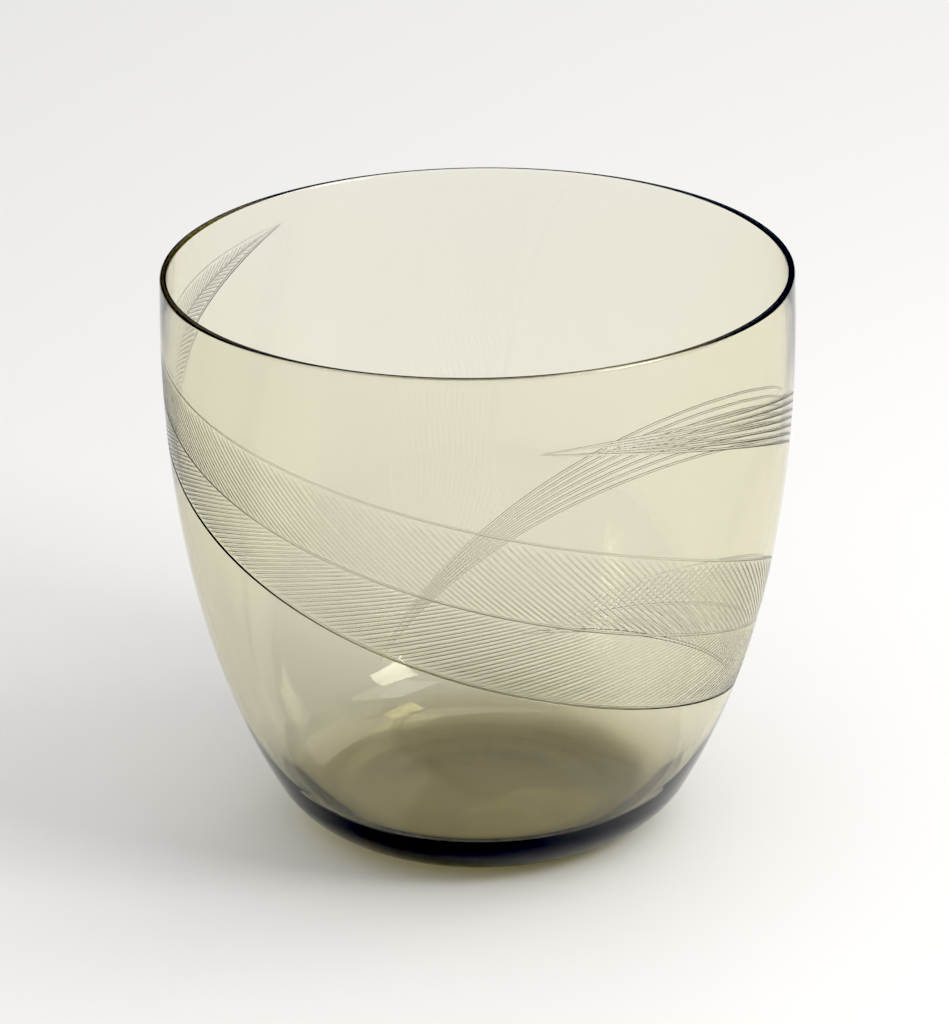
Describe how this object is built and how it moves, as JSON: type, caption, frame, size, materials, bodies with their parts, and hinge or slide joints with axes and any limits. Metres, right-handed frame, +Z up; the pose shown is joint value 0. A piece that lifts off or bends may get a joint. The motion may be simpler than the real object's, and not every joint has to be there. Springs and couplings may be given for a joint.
{
  "type": "mixing glass",
  "caption": "Wide smoke-tinted glass tumbler with a rounded base, an open mouth and a cut feather-and-ribbon pattern.",
  "frame": {"origin": "centre of the foot's resting ring, on the table", "axes": "+Z up along the glass's turning axis; -Y faces the viewer, with the cut feather's wide middle on that side"},
  "size_m": [0.1104, 0.1104, 0.1027],
  "materials": {
    "glass_vessel": "polished, tinted smoke grey with an olive cast"
  },
  "bodies": {
    "root": {"glass_vessel": "glass_vessel"}
  },
  "joints": []
}
